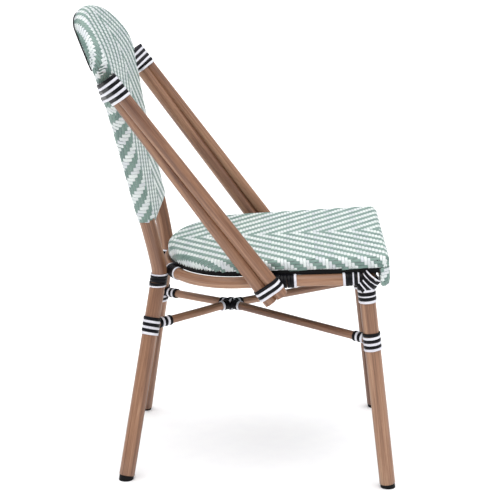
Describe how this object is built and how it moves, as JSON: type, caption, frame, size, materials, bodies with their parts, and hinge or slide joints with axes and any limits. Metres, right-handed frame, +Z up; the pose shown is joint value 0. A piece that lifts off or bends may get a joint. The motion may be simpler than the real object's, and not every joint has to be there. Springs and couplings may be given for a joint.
{
  "type": "stacking chair",
  "caption": "Stacking bistro chair with a bent tube back hoop, paired side stays, crossed stretchers, woven seat and back, and cord-lashed joints.",
  "frame": {"origin": "on the floor, under the middle of the chair's bounding box", "axes": "+Z up, the chair faces -Y, +X is the sitter's left"},
  "size_m": [0.5338, 0.6205, 0.894],
  "materials": {
    "tube": "wood-grain printed coating with a soft gloss",
    "weave": "woven mint and white plastic strands",
    "cord": "black and white plastic cord, wound tight",
    "frame": "black powder coat",
    "foot": "moulded matt black",
    "plug": "plain brown plastic",
    "steel": "bright zinc"
  },
  "bodies": {
    "root": {"back_hoop": "tube", "front_leg_left": "tube", "front_leg_right": "tube", "seat_rail": "tube", "rail_sleeve": "steel", "seat_tabs": "steel", "seat_screws": "steel", "seat_frame": "frame", "seat_crossbar_front": "frame", "seat_crossbar_rear": "frame", "seat_weave": "weave", "back_crossbar": "tube", "back_weave": "weave", "back_binding": "cord", "stay_left_front": "tube", "stay_left_rear": "tube", "stay_right_front": "tube", "stay_right_rear": "tube", "stay_plugs": "plug", "stretcher_through": "tube", "stretcher_half_left": "tube", "stretcher_half_right": "tube", "foot_front_left": "foot", "foot_front_right": "foot", "foot_rear_left": "foot", "foot_rear_right": "foot", "upper_lashing_left": "cord", "upper_lashing_right": "cord", "lower_lashing_left": "cord", "lower_lashing_right": "cord", "rear_lashing_left": "cord", "rear_lashing_right": "cord", "corner_lashing_left": "cord", "corner_lashing_right": "cord", "leg_lashing_front_left": "cord", "leg_lashing_front_right": "cord", "leg_lashing_rear_left": "cord", "leg_lashing_rear_right": "cord", "centre_lashing": "cord"}
  },
  "joints": []
}
